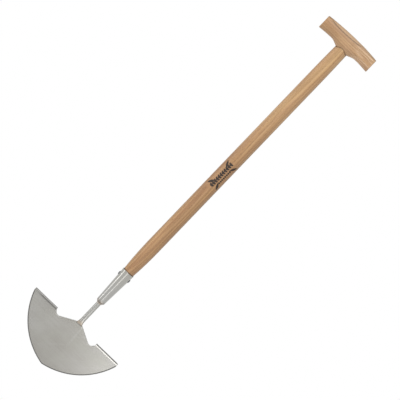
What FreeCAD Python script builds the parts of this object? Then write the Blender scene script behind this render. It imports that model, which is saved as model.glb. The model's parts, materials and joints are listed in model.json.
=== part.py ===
import FreeCAD, Part
import math
import os

from FreeCAD import Vector

# A half-moon lawn edger: steel blade, neck and socket below, ash shaft and T-grip above.
# The frame has +Z up the shaft, X across the blade and the front towards -Y.
# The origin is the blade's point, where the two cutting arcs meet. Sizes are in millimetres.

# Blade, one sheet
blade_width = 225.0
blade_thickness = 2.0
edge_bulge = 20.3            # how far each cutting arc stands off its chord
tip_flat = 3.2               # upright edge between a cutting arc and its tread
bevel_width = 2.6            # ground edge, on the front face
bevel_land = 0.5             # thickness left at the cutting edge

# Treads, the turned tops of the two wings: the left one to the front, the right one to the back
tread_height = 106.0         # top of the treads above the point
tread_inner = 53.0           # from the middle line to a tread's inner end
tread_reach = 12.0           # across the turned strip, from the far face of the sheet
bend_radius = 2.0            # inside the bend
tread_outer_corner = 7.0
tread_inner_corner = 2.0

# Shoulders, notches and tongue
shoulder_rise = 11.0         # from the treads up to where the shoulder lines meet
shoulder_angle = 28.0        # degrees
notch_angle = 50.0           # degrees, the steep side of a notch under the tread's inner end
notch_radius = 8.0
tongue_width = 9.2
tongue_fillet = 5.0

# Neck, a round bar whose slotted foot straddles the tongue
neck_diameter = 10.5
neck_length = 59.5           # from the foot's lower end to the socket's lower end
neck_plug = 4.0              # how far the neck stands inside the socket's floor
foot_drop = 5.0              # from the meeting of the shoulder lines down to the foot's lower end
foot_height = 12.0           # the spread part of the neck
foot_width = 15.0
foot_depth = 6.4
slot_depth = 11.0
slot_gap = 0.05              # each side of the tongue
socket_weld_size = 1.5

# Socket, a cone with a closed-in lower end
socket_length = 85.0
socket_rim_diameter = 27.4
socket_low_diameter = 18.6
socket_wall = 1.4
socket_end_round = 4.6
socket_rim_round = 0.4
neck_hole_gap = 0.05         # round the neck in the socket's floor

# Rivet through socket and shaft
rivet_diameter = 5.0
rivet_below_rim = 13.0
rivet_head_diameter = 8.6
rivet_head_height = 1.7      # over the socket, in the middle of the dome
rivet_head_edge = 0.3        # upright edge under the dome
rivet_gap = 0.05

# Shaft
shaft_diameter = 31.0
shaft_top_diameter = 29.2
nose_gap = 0.05              # round the nose in the socket
nose_clearance = 12.0        # from the socket's lower end to the nose's end
nose_chamfer = 1.5
swell_length = 73.5          # from the socket's rim to the full diameter
straight_length = 470.0
top_taper_length = 74.1      # from the straight part to the grip's underside
tenon_diameter = 20.0
tenon_length = 24.0

# Grip
grip_length = 130.0
grip_proud = 2.4             # grip over the shaft's top, front and back
grip_end_depth = 28.0        # front to back
grip_middle_height = 39.2
grip_end_drop = 3.6          # the top at the ends, under the top in the middle
arch_rise = 6.7              # underside of the finger arches over the underside in the middle
arch_start = 8.0             # from the middle line to where the underside starts to rise
arch_run = 24.0              # length of that rise
end_swell = 1.9              # underside at the ends, under the finger arches
top_arris_drop = 4.4         # the long top edges, under the middle of the top
top_arris_inset = 3.0        # the long top edges, inside the grip's widest line
grip_end_round = 1.6
grip_stations = 16           # evenly spaced sections along the grip
mortise_gap = 0.05
mortise_spare = 1.0          # empty depth past the tenon's end

# Pin through the tenon, driven in from the back and flush there
pin_diameter = 5.0
pin_rise = 15.1              # over the grip's underside
pin_cover = 5.0              # wood left between the pin's end and the grip's front
pin_gap = 0.05

# Heights worked out from the sizes
foot_bottom = tread_height + shoulder_rise - foot_drop
tongue_top = foot_bottom + slot_depth
socket_bottom = foot_bottom + neck_length
socket_rim = socket_bottom + socket_length
rivet_height = socket_rim - rivet_below_rim
straight_start = socket_rim + swell_length
straight_end = straight_start + straight_length
grip_bottom = straight_end + top_taper_length
grip_top = grip_bottom + grip_middle_height
grip_middle_depth = shaft_top_diameter + 2 * grip_proud
pin_height = grip_bottom + pin_rise
tenon_top = grip_bottom + tenon_length
bend_height = tread_height - bend_radius - blade_thickness


def line(start, end):
    return Part.makeLine(start, end)


def arc(start, middle, end):
    return Part.Arc(start, middle, end).toShape()


def rod(radius, start, end):
    """Round bar between two points."""
    return Part.makeCylinder(radius, start.distanceToPoint(end), start, end - start)


def edges_at(shape, direction, places):
    """The shape's straight edges along a direction that pass through one of the places."""
    found = []
    for edge in shape.Edges:
        run = edge.Vertexes[-1].Point - edge.Vertexes[0].Point
        if run.Length < 1e-6 or run.cross(direction).Length > 1e-6 * run.Length:
            continue
        for place in places:
            if edge.distToShape(Part.Vertex(place))[0] < 1e-3:
                found.append(edge)
    return found


def edge_arc_points(side):
    """Start, middle and end of one cutting arc; side is -1 for the left, 1 for the right."""
    end = Vector(side * blade_width / 2, 0, bend_height - tip_flat)
    outward = Vector(end.z, 0, -end.x) * (side / end.Length)
    middle = end * 0.5 + outward * edge_bulge
    return Vector(0, 0, 0), middle, end


def bevel_ring(side):
    """The steel ground away along one cutting arc: a ring of wedge section round the arc's axis."""
    circle = arc(*edge_arc_points(side)).Curve
    slope = (blade_thickness - bevel_land) / bevel_width
    past = blade_thickness
    inner = circle.Radius - bevel_width
    outer = circle.Radius + past
    front = -blade_thickness / 2
    corners = [
        Vector(inner, front, 0),
        Vector(outer, front + slope * (bevel_width + past), 0),
        Vector(outer, front - past, 0),
        Vector(inner, front - past, 0),
    ]
    section = Part.Face(Part.makePolygon(corners + corners[:1]))
    ring = section.revolve(Vector(0, 0, 0), Vector(0, 1, 0), 360)
    ring.translate(circle.Center)
    return ring


def blade_plate():
    """The flat part of the sheet, up to the bends of the treads."""
    half = blade_width / 2
    peak = tread_height + shoulder_rise
    fall = math.tan(math.radians(shoulder_angle))
    steep = math.tan(math.radians(notch_angle))
    notch_x = (peak - bend_height + steep * tread_inner) / (steep + fall)
    notch = Vector(notch_x, 0, peak - fall * notch_x)
    tongue_foot = Vector(tongue_width / 2, 0, peak - fall * tongue_width / 2)
    right = [
        Vector(half, 0, bend_height - tip_flat),
        Vector(half, 0, bend_height),
        Vector(tread_inner, 0, bend_height),
        notch,
        tongue_foot,
        Vector(tongue_width / 2, 0, tongue_top),
    ]
    left = [Vector(-point.x, 0, point.z) for point in reversed(right)]
    upper = right + left
    edges = [arc(*edge_arc_points(1))]
    for start, end in zip(upper[:-1], upper[1:]):
        edges.append(line(start, end))
    edges.append(arc(*reversed(edge_arc_points(-1))))
    plate = Part.Face(Part.Wire(edges)).extrude(Vector(0, blade_thickness, 0))
    plate.translate(Vector(0, -blade_thickness / 2, 0))
    for corner, radius in ((notch, notch_radius), (tongue_foot, tongue_fillet)):
        places = [corner, Vector(-corner.x, 0, corner.z)]
        plate = plate.makeFillet(radius, edges_at(plate, Vector(0, 1, 0), places))
    for side in (-1, 1):
        plate = plate.cut(bevel_ring(side))
    return plate


def tread(side):
    """One turned strip with its bend; the left one (side -1) turns to -Y, the right one to +Y."""
    face = side * blade_thickness / 2
    bend_y = side * (blade_thickness / 2 + bend_radius)
    edge_y = side * (tread_reach - blade_thickness / 2)
    outer = bend_radius + blade_thickness
    turn = math.sqrt(0.5)

    def round_bend(radius):
        return arc(
            Vector(0, bend_y - side * radius, bend_height),
            Vector(0, bend_y - side * radius * turn, bend_height + radius * turn),
            Vector(0, bend_y, bend_height + radius),
        )

    under = tread_height - blade_thickness
    edges = [
        round_bend(outer),
        line(Vector(0, bend_y, tread_height), Vector(0, edge_y, tread_height)),
        line(Vector(0, edge_y, tread_height), Vector(0, edge_y, under)),
        line(Vector(0, edge_y, under), Vector(0, bend_y, under)),
        round_bend(bend_radius),
        line(Vector(0, face, bend_height), Vector(0, -face, bend_height)),
    ]
    length = blade_width / 2 - tread_inner
    strip = Part.Face(Part.Wire(Part.__sortEdges__(edges))).extrude(Vector(side * length, 0, 0))
    strip.translate(Vector(side * tread_inner, 0, 0))
    up = Vector(0, 0, 1)
    for reach, radius in ((blade_width / 2, tread_outer_corner), (tread_inner, tread_inner_corner)):
        corner = Vector(side * reach, edge_y, tread_height)
        strip = strip.makeFillet(radius, edges_at(strip, up, [corner]))
    return strip


def make_blade():
    return blade_plate().fuse([tread(-1), tread(1)]).removeSplitter()


def foot_section(height):
    """Oval section of the neck's foot, this far above its lower end."""
    spread = (1 - height / foot_height) ** 2
    radius = neck_diameter / 2
    half_width = radius + (foot_width / 2 - radius) * spread
    half_depth = radius + (foot_depth / 2 - radius) * spread
    oval = Part.Ellipse(Vector(0, 0, foot_bottom + height), half_width, half_depth)
    return Part.Wire(oval.toShape())


def make_neck():
    sections = [foot_section(foot_height * step / 4) for step in range(5)]
    foot = Part.makeLoft(sections, True)
    bar_start = Vector(0, 0, foot_bottom + foot_height)
    bar_end = Vector(0, 0, socket_bottom + socket_wall + neck_plug)
    neck = foot.fuse(rod(neck_diameter / 2, bar_start, bar_end))
    slot_half = blade_thickness / 2 + slot_gap
    slot_top = tongue_top + slot_gap
    slot = Part.makeBox(
        2 * foot_width, 2 * slot_half, slot_top, Vector(-foot_width, -slot_half, 0)
    )
    return neck.cut(slot)


def make_blade_weld():
    """Fillet beads under the foot, one on each face of the blade."""
    size = (foot_depth - blade_thickness) / 2
    half = foot_width / 2 - size
    beads = []
    for side in (-1, 1):
        start = Vector(-half, side * blade_thickness / 2, foot_bottom)
        end = Vector(half, side * blade_thickness / 2, foot_bottom)
        bead = rod(size, start, end)
        bead = bead.fuse([Part.makeSphere(size, start), Part.makeSphere(size, end)])
        low_y = blade_thickness / 2 if side > 0 else -blade_thickness / 2 - size
        corner = Vector(-foot_width, low_y, foot_bottom - size)
        beads.append(bead.common(Part.makeBox(2 * foot_width, size, size, corner)).removeSplitter())
    return Part.makeCompound(beads)


def socket_radius(height):
    """Outer radius of the socket's cone at a height above the blade's point."""
    share = (height - socket_bottom) / socket_length
    return (socket_low_diameter + (socket_rim_diameter - socket_low_diameter) * share) / 2


def socket_cone(inset, bottom):
    """The socket's cone, taken in by inset, from a bottom height up to the rim."""
    return Part.makeCone(
        socket_radius(bottom) - inset,
        socket_radius(socket_rim) - inset,
        socket_rim - bottom,
        Vector(0, 0, bottom),
    )


def round_low_edge(cone, bottom, radius):
    circles = [edge for edge in cone.Edges if abs(edge.BoundBox.ZMax - bottom) < 1e-6]
    return cone.makeFillet(radius, circles)


def rivet_axis(reach):
    """Ends of a line through the rivet, this far out on both sides."""
    return Vector(-reach, 0, rivet_height), Vector(reach, 0, rivet_height)


def socket_body():
    """The socket's outer form, solid, with its lower end and rim rounded."""
    body = round_low_edge(socket_cone(0, socket_bottom), socket_bottom, socket_end_round)
    rim = [edge for edge in body.Edges if abs(edge.BoundBox.ZMin - socket_rim) < 1e-6]
    return body.makeFillet(socket_rim_round, rim)


def make_socket():
    floor = socket_bottom + socket_wall
    inner = round_low_edge(socket_cone(socket_wall, floor), floor, socket_end_round - socket_wall)
    neck_hole = rod(neck_diameter / 2 + neck_hole_gap, Vector(0, 0, 0), Vector(0, 0, floor + 1))
    rivet_hole = rod(rivet_diameter / 2 + rivet_gap, *rivet_axis(socket_rim_diameter))
    return socket_body().cut(inner).cut([neck_hole, rivet_hole])


def make_socket_weld():
    """Ring of weld that fills the corner between the neck and the socket's rounded lower end."""
    ring = Part.makeTorus(neck_diameter / 2, socket_weld_size, Vector(0, 0, socket_bottom))
    bar = rod(neck_diameter / 2, Vector(0, 0, 0), Vector(0, 0, socket_rim))
    return ring.cut([bar, socket_body()])


def rivet_head(side):
    """Domed head with a short upright edge, its underside shaped to the socket's cone."""
    seat = socket_radius(rivet_height)
    radius = rivet_head_diameter / 2
    buried = seat - radius
    edge_top = seat + rivet_head_edge
    dome = rivet_head_height - rivet_head_edge
    dome_radius = (radius ** 2 + dome ** 2) / (2 * dome)
    half_angle = math.asin(radius / dome_radius) / 2
    on_dome = Vector(
        edge_top + dome - dome_radius * (1 - math.cos(half_angle)),
        dome_radius * math.sin(half_angle),
        0,
    )
    edges = [
        line(Vector(buried, 0, 0), Vector(buried, radius, 0)),
        line(Vector(buried, radius, 0), Vector(edge_top, radius, 0)),
        arc(Vector(edge_top, radius, 0), on_dome, Vector(edge_top + dome, 0, 0)),
        line(Vector(edge_top + dome, 0, 0), Vector(buried, 0, 0)),
    ]
    head = Part.Face(Part.Wire(edges)).revolve(Vector(0, 0, 0), Vector(1, 0, 0), 360)
    head.rotate(Vector(0, 0, 0), Vector(0, 0, 1), 0 if side > 0 else 180)
    head.translate(Vector(0, 0, rivet_height))
    return head.cut(socket_cone(0, socket_bottom))


def make_rivet():
    """Shank through socket and shaft, with a head on each side."""
    reach = socket_radius(rivet_height) + rivet_head_height / 2
    return rod(rivet_diameter / 2, *rivet_axis(reach)).fuse([rivet_head(-1), rivet_head(1)])


def turned_arc(z_start, r_start, z_end, r_end, level_at_end):
    """Profile arc between two heights that runs level with the axis at its end, or at its start."""
    run = z_end - z_start
    step = abs(r_end - r_start)
    radius = (run ** 2 + step ** 2) / (2 * step)
    sag = radius - math.sqrt(radius ** 2 - (run / 2) ** 2)
    level_radius = r_end if level_at_end else r_start
    narrow = -1 if level_radius >= max(r_start, r_end) else 1
    middle = Vector(level_radius + narrow * sag, 0, (z_start + z_end) / 2)
    return arc(Vector(r_start, 0, z_start), middle, Vector(r_end, 0, z_end))


def make_shaft(grip_block):
    nose_bottom = socket_bottom + nose_clearance
    inset = socket_wall + nose_gap
    nose_radius = socket_radius(nose_bottom) - inset
    rim_radius = socket_radius(socket_rim) - inset
    full_radius = shaft_diameter / 2
    top_radius = shaft_top_diameter / 2
    cope_top = grip_bottom + grip_middle_depth / 2
    chamfer_height = nose_bottom + nose_chamfer
    chamfer_radius = socket_radius(chamfer_height) - inset
    edges = [
        line(Vector(0, 0, nose_bottom), Vector(nose_radius - nose_chamfer, 0, nose_bottom)),
        line(
            Vector(nose_radius - nose_chamfer, 0, nose_bottom),
            Vector(chamfer_radius, 0, chamfer_height),
        ),
        line(Vector(chamfer_radius, 0, chamfer_height), Vector(rim_radius, 0, socket_rim)),
        turned_arc(socket_rim, rim_radius, straight_start, full_radius, True),
        line(Vector(full_radius, 0, straight_start), Vector(full_radius, 0, straight_end)),
        turned_arc(straight_end, full_radius, grip_bottom, top_radius, False),
        line(Vector(top_radius, 0, grip_bottom), Vector(top_radius, 0, cope_top)),
        line(Vector(top_radius, 0, cope_top), Vector(0, 0, cope_top)),
        line(Vector(0, 0, cope_top), Vector(0, 0, nose_bottom)),
    ]
    shaft = Part.Face(Part.Wire(edges)).revolve(Vector(0, 0, 0), Vector(0, 0, 1), 360)
    shaft = shaft.cut(grip_block)
    tenon_start = Vector(0, 0, straight_end)
    shaft = shaft.fuse(rod(tenon_diameter / 2, tenon_start, Vector(0, 0, tenon_top)))
    rivet_hole = rod(rivet_diameter / 2 + rivet_gap, *rivet_axis(shaft_diameter))
    pin_hole = rod(pin_diameter / 2 + pin_gap, *pin_axis())
    return shaft.removeSplitter().cut([rivet_hole, pin_hole])


def grip_underside(x):
    """Height of the underside: level over the shaft, up into a finger arch, down again at the end."""
    share = min(max((abs(x) - arch_start) / arch_run, 0), 1)
    rise = arch_rise * share ** 2 * (3 - 2 * share)
    arch_end = arch_start + arch_run
    past = max(abs(x) - arch_end, 0) / (grip_length / 2 - arch_end)
    return grip_bottom + rise - end_swell * past ** 2


def grip_section(x):
    """Section across the grip: a round belly, sides leaning in, and a crowned top between two arrises."""
    share = (2 * x / grip_length) ** 2
    half = (grip_middle_depth + (grip_end_depth - grip_middle_depth) * share) / 2
    bottom = grip_underside(x)
    top = grip_top - grip_end_drop * share
    belly = bottom + half
    arris_y = half - top_arris_inset
    arris_z = top - top_arris_drop
    side_y = (half + arris_y) / 2 + top_arris_inset / 4
    side_z = (belly + arris_z) / 2
    right_side = arc(Vector(x, half, belly), Vector(x, side_y, side_z), Vector(x, arris_y, arris_z))
    left_side = arc(Vector(x, -arris_y, arris_z), Vector(x, -side_y, side_z), Vector(x, -half, belly))
    return Part.Wire([
        arc(Vector(x, -half, belly), Vector(x, 0, bottom), Vector(x, half, belly)),
        right_side,
        arc(Vector(x, arris_y, arris_z), Vector(x, 0, top), Vector(x, -arris_y, arris_z)),
        left_side,
    ])


def make_grip_block():
    """The grip before its mortise and pin hole are cut."""
    step = grip_length / grip_stations
    stations = [step * number - grip_length / 2 for number in range(grip_stations + 1)]
    block = Part.makeLoft([grip_section(x) for x in stations], True)
    ends = []
    for edge in block.Edges:
        box = edge.BoundBox
        if box.XLength < 1e-6:
            ends.append(edge)
    return block.makeFillet(grip_end_round, ends)


def pin_axis():
    front = pin_cover - grip_middle_depth / 2
    return Vector(0, front, pin_height), Vector(0, grip_middle_depth, pin_height)


def make_grip(grip_block):
    mortise_top = tenon_top + mortise_spare
    mortise = rod(tenon_diameter / 2 + mortise_gap, Vector(0, 0, straight_end), Vector(0, 0, mortise_top))
    pin_hole = rod(pin_diameter / 2 + pin_gap, *pin_axis())
    return grip_block.cut([mortise, pin_hole])


def make_pin(grip_block):
    """Pin that stops short of the grip's front and is flush with its back."""
    return rod(pin_diameter / 2, *pin_axis()).common(grip_block)


def main():
    os.makedirs("parts", exist_ok=True)
    grip_block = make_grip_block()
    pieces = {
        "blade": make_blade(),
        "neck": make_neck(),
        "blade_weld": make_blade_weld(),
        "socket": make_socket(),
        "socket_weld": make_socket_weld(),
        "socket_rivet": make_rivet(),
        "shaft": make_shaft(grip_block),
        "grip": make_grip(grip_block),
        "grip_pin": make_pin(grip_block),
    }
    for name, shape in pieces.items():
        box = shape.BoundBox
        print(
            f"{name:14s} solids {len(shape.Solids)} valid {shape.isValid()} volume {shape.Volume:10.1f}"
            f"  x {box.XMin:8.2f} {box.XMax:8.2f}  y {box.YMin:7.2f} {box.YMax:7.2f}"
            f"  z {box.ZMin:7.2f} {box.ZMax:7.2f}"
        )
        shape.exportStep(f"parts/{name}.step")


main()
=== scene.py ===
"""Half-moon lawn edger: its visible surfaces, finishes, light and camera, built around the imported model."""

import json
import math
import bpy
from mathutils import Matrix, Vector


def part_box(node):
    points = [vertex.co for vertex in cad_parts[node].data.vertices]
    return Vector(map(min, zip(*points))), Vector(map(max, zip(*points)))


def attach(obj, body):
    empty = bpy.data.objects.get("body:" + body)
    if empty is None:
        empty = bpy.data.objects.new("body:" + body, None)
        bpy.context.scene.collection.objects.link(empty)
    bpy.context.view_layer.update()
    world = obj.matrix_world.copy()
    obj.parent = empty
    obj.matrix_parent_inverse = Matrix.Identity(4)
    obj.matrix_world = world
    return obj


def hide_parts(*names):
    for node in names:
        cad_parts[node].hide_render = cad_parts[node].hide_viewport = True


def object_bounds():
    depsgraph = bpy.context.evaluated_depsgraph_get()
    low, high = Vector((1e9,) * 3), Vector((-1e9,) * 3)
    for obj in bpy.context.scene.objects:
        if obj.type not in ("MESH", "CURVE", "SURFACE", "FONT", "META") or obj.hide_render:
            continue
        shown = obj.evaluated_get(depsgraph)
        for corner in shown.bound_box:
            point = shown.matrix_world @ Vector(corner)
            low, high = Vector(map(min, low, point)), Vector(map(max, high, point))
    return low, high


bl_info = {
    "name": "Half-Moon Lawn Edger",
    "version": (1, 0, 0),
    "blender": (4, 5, 0),
    "location": "3D View > Sidebar > Edger",
    "description": "Builds a half-moon lawn edger in stainless steel and oiled ash around its packed model",
    "category": "Object",
}

import bmesh
import bpy
import numpy as np
from mathutils import Matrix, Vector

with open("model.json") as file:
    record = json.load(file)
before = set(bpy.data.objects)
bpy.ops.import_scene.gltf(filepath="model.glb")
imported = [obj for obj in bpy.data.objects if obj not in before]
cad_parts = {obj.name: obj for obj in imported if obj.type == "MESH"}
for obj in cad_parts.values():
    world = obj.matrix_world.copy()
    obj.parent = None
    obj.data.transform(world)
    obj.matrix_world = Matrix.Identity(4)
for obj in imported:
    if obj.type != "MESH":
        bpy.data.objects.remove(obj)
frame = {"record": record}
cad_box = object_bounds()

MM = 0.001
FULL_TURN = 2 * math.pi

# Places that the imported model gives
BLADE_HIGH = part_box("blade")[1]
NECK_LOW, NECK_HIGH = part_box("neck")
SOCKET_LOW, SOCKET_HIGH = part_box("socket")
SHAFT_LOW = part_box("shaft")[0]
GRIP_LOW, GRIP_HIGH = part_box("grip")
RIVET_LOW, RIVET_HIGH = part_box("socket_rivet")
PIN_LOW, PIN_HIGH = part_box("grip_pin")
MOUNTS = {mount["name"]: mount for mount in frame["record"]["mounts"]}
CLIP = MOUNTS["shaft_clip"]
STRAIGHT_HALF = CLIP["dims"]["length_mm"] * MM / 2
STRAIGHT_LOW = CLIP["pos_m"][2] - STRAIGHT_HALF
STRAIGHT_HIGH = CLIP["pos_m"][2] + STRAIGHT_HALF
SHAFT_RADIUS = CLIP["dims"]["r_mm"] * MM
TREAD_HEIGHT = MOUNTS["left_tread"]["pos_m"][2]
RIVET_HEIGHT = (RIVET_LOW.z + RIVET_HIGH.z) / 2
PIN_HEIGHT = (PIN_LOW.z + PIN_HIGH.z) / 2
PIN_RADIUS = (PIN_HIGH.z - PIN_LOW.z) / 2


# ---------------------------------------------------------------- settings


def length(name, description, millimetres):
    """A size that the user can change, given in millimetres and held in metres."""
    return bpy.props.FloatProperty(
        name=name, description=description, default=millimetres * MM, unit="LENGTH", precision=5, min=0
    )


def colour(name, description, red, green, blue):
    """A colour that the user can change, in linear light."""
    return bpy.props.FloatVectorProperty(
        name=name, description=description, default=(red, green, blue), subtype="COLOR", min=0, max=1
    )


class BladeSettings(bpy.types.PropertyGroup):
    thickness: length("Sheet thickness", "Thickness of the blade's sheet", 2.0)
    edge_bulge: length("Edge bulge", "How far each cutting arc stands off its chord", 20.3)
    tip_flat: length("Tip flat", "Upright edge between a cutting arc and its tread", 3.2)
    bevel_width: length("Bevel width", "Width of the ground cutting edge", 2.6)
    bevel_land: length("Bevel land", "Thickness left at the cutting edge", 0.5)
    tread_inner: length("Tread inner end", "From the middle line to a tread's inner end", 53.0)
    bend_radius: length("Bend radius", "Radius inside the bend of a tread", 2.0)
    outer_corner: length("Outer corner", "Corner radius at a tread's outer end", 7.0)
    inner_corner: length("Inner corner", "Corner radius at a tread's inner end", 2.0)
    shoulder_rise: length("Shoulder rise", "From the treads up to where the shoulder lines meet", 11.0)
    notch_radius: length("Notch radius", "Radius in the bottom of a notch", 8.0)
    tongue_width: length("Tongue width", "Width of the tongue inside the neck's foot", 9.2)
    tongue_fillet: length("Tongue fillet", "Radius between the tongue and a shoulder", 5.0)
    edge_round: length("Edge rounding", "Radius worn on the sheet's cut edges", 0.4)
    shoulder_angle: bpy.props.FloatProperty(
        name="Shoulder angle",
        description="Fall of the shoulders",
        default=math.radians(28),
        subtype="ANGLE",
    )
    notch_angle: bpy.props.FloatProperty(
        name="Notch angle",
        description="Steep side of a notch, under a tread's inner end",
        default=math.radians(50),
        subtype="ANGLE",
    )
    steel: colour("Steel", "Satin stainless sheet", 0.315, 0.302, 0.275)
    # Bright steel colours the lighter clouds, and also the painted light on the outer wings.
    bright_steel: colour("Bright steel", "Lighter clouds in the satin finish", 0.40, 0.393, 0.372)
    cut_steel: colour("Cut steel", "The sheet's other cut edges", 0.36, 0.352, 0.338)
    # Ground steel colours the ground cutting edge, and also the painted shade at the foot of each tread's
    # bend.
    ground_steel_and_corner_shade: colour("Ground steel", "Ground cutting edge and unpolished bend corners", 0.15, 0.147, 0.14)


class NeckSettings(bpy.types.PropertyGroup):
    diameter: length("Bar diameter", "Diameter of the round bar", 10.5)
    foot_height: length("Foot height", "Height of the spread part of the neck", 12.0)
    foot_depth: length("Foot depth", "Depth of the foot's lower end, front to back", 6.4)
    slot_room: length("Slot room", "Room on each side of the tongue in the slot", 0.05)
    end_round: length("End rounding", "Radius on the foot's lower ends", 0.5)
    bead_size: length("Socket bead", "Size of the weld ring under the socket", 1.5)
    ripple: length("Ripple", "Height of the ripples in the weld beads", 0.12)
    steel: colour("Steel", "Brushed stainless bar", 0.37, 0.367, 0.345)
    tint: colour("Heat tint", "Straw tint that welding leaves", 0.50, 0.37, 0.24)


class SocketSettings(bpy.types.PropertyGroup):
    low_diameter: length("Low diameter", "Diameter at the lower end", 18.6)
    rim_diameter: length("Rim diameter", "Diameter at the rim", 27.4)
    wall: length("Wall", "Thickness of the socket's wall", 1.4)
    end_round: length("End rounding", "Radius round the closed lower end", 4.6)
    rim_round: length("Rim rounding", "Radius on the rim's edges", 0.4)
    rivet_diameter: length("Rivet head", "Diameter of a rivet head", 8.6)
    rivet_edge: length("Rivet edge", "Upright edge under a rivet's dome", 0.3)
    steel: colour("Steel", "Polished stainless", 0.385, 0.38, 0.36)
    rivet_steel: colour("Rivet steel", "Dull dark steel", 0.16, 0.16, 0.165)


class ShaftSettings(bpy.types.PropertyGroup):
    top_diameter: length("Top diameter", "Diameter under the grip", 29.2)
    nose_room: length("Nose room", "Room round the nose in the socket", 0.05)
    joint_round: length("Joint rounding", "Softened edge where the shaft meets the grip", 0.8)
    mark_height: length("Mark height", "Height of the middle of the burnt sprig", 530.5)
    mark_length: length("Mark length", "Length of the burnt sprig", 62.0)
    light: colour("Light wood", "Late wood of the ash", 0.47, 0.295, 0.139)
    dark: colour("Dark wood", "Early wood of the ash", 0.235, 0.122, 0.048)
    # Share of each colour that the shaft keeps towards the bottom, where it is darker.
    low_darkening: colour("Heart tint", "Share of each colour that the browner lower wood keeps", 0.78, 0.715, 0.68)
    burnt: colour("Burnt wood", "The burnt sprig", 0.016, 0.009, 0.006)


class GripSettings(bpy.types.PropertyGroup):
    end_depth: length("End depth", "Depth of the grip's ends, front to back", 28.0)
    end_drop: length("End drop", "Fall of the top from its middle to its ends", 3.6)
    arch_rise: length("Arch rise", "Rise of the finger arches", 6.7)
    arch_start: length("Arch start", "From the middle line to where the arches start", 8.0)
    arch_run: length("Arch run", "Length of the arches' rise", 24.0)
    end_swell: length("End swell", "Fall of the underside past the arches", 1.9)
    arris_drop: length("Arris drop", "The long top edges, under the top, where the facet is widest", 5.2)
    arris_least: length("Least arris drop", "The same where the facet runs out", 1.6)
    arris_inset: length("Arris inset", "The long top edges, inside the widest line", 3.0)
    end_round: length("End rounding", "Radius round the two ends", 1.6)
    light: colour("Light wood", "Late wood of the ash", 0.43, 0.268, 0.134)
    dark: colour("Dark wood", "Early wood of the ash", 0.225, 0.118, 0.047)
    # Pale colours the pale flashes, and also the painted light on the crown of the top.
    pale: colour("Pale wood", "Pale flashes, and the crown of the top", 0.56, 0.39, 0.25)


class StageSettings(bpy.types.PropertyGroup):
    floor_size: length("Floor size", "Side of the square floor", 400000.0)
    picture_width: length("Picture width", "Width of the picture at the tool", 800.0)
    focal_length: bpy.props.FloatProperty(
        name="Focal length", description="Lens of the camera in millimetres", default=1000.0, min=1
    )
    elevation: bpy.props.FloatProperty(
        name="Elevation", description="Camera above the horizon", default=math.radians(8), subtype="ANGLE"
    )
    roll: bpy.props.FloatProperty(
        name="Roll",
        description="Turn of the camera about its view",
        default=math.radians(43.79),
        subtype="ANGLE",
    )
    world_strength: bpy.props.FloatProperty(
        name="Room light", description="Even light from all round", default=0.42, min=0
    )
    floor_colour: colour("Floor", "Plain pale floor, lit from under like a light table", 1.0, 1.0, 1.0)


SETTINGS = {
    "edger_blade": BladeSettings,
    "edger_neck": NeckSettings,
    "edger_socket": SocketSettings,
    "edger_shaft": ShaftSettings,
    "edger_grip": GripSettings,
    "edger_stage": StageSettings,
}


# ---------------------------------------------------------------- surfaces


def finish_piece(name, mesh, material, nodes, sharp=35):
    """Smooths the mesh between its sharp edges, and makes it a piece that stands for CAD nodes."""
    mesh.shade_smooth()
    mesh.set_sharp_from_angle(angle=math.radians(sharp))
    mesh.materials.append(material)
    piece = bpy.data.objects.new(name, mesh)
    bpy.context.scene.collection.objects.link(piece)
    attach(piece, "root")
    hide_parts(*nodes)
    return piece


def grid_faces(rows, columns):
    """Corner numbers of the four-sided faces between the points of a grid."""
    number = np.arange(rows * columns).reshape(rows, columns)
    corners = [number[:-1, :-1], number[:-1, 1:], number[1:, 1:], number[1:, :-1]]
    return np.stack(corners, axis=-1).reshape(-1, 4)


def skin_mesh(name, *grids):
    """Mesh of one closed skin per grid of points, an array of rows, columns and three coordinates.

    Points of a grid that fall together are merged, which closes its poles and seams, and the faces are
    turned outwards.
    """
    points, faces, spans, start = [], [], [], 0
    for grid in grids:
        rows, columns = grid.shape[:2]
        points.append(grid.reshape(-1, 3))
        faces.append(grid_faces(rows, columns) + start)
        spans.append((start, start + rows * columns))
        start += rows * columns
    mesh = bpy.data.meshes.new(name)
    mesh.from_pydata(np.concatenate(points).tolist(), [], np.concatenate(faces).tolist())
    form = bmesh.new()
    form.from_mesh(mesh)
    form.verts.ensure_lookup_table()
    for skin in [form.verts[low:high] for low, high in spans]:
        bmesh.ops.remove_doubles(form, verts=skin, dist=2e-6)
    bmesh.ops.recalc_face_normals(form, faces=form.faces[:])
    form.to_mesh(mesh)
    form.free()
    return mesh


def vertex_places(mesh):
    """Arrays of x, y and z of a mesh's points."""
    places = np.empty(3 * len(mesh.vertices))
    mesh.vertices.foreach_get("co", places)
    return places.reshape(-1, 3).T


def stacked(*coordinates):
    """One array of points from arrays of x, y and z, spread to a common shape."""
    return np.stack(np.broadcast_arrays(*coordinates), axis=-1)


def turned(radii, heights, steps=96):
    """Surface of revolution about Z: each row is a circle of one radius at one height."""
    angle = np.linspace(0, FULL_TURN, steps + 1)[None, :]
    radius = np.asarray(radii)[:, None]
    return stacked(radius * np.cos(angle), radius * np.sin(angle), np.asarray(heights)[:, None])


def arc_points(centre_r, centre_z, radius, start, end, steps):
    """Radii and heights along an arc of a turned profile, from one angle to another in degrees."""
    angle = np.radians(np.linspace(start, end, steps + 1))
    return centre_r + radius * np.cos(angle), centre_z + radius * np.sin(angle)


def eased(low, high, steps):
    """Numbers from low to high whose steps grow like a quarter circle, for a rounded end."""
    return low + (high - low) * (1 - np.cos(np.linspace(0, math.pi / 2, steps + 1)))


# ---------------------------------------------------------------- blade


def bend_height(size):
    """Height at which the bends of the treads start."""
    return TREAD_HEIGHT - size.bend_radius - size.thickness


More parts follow.
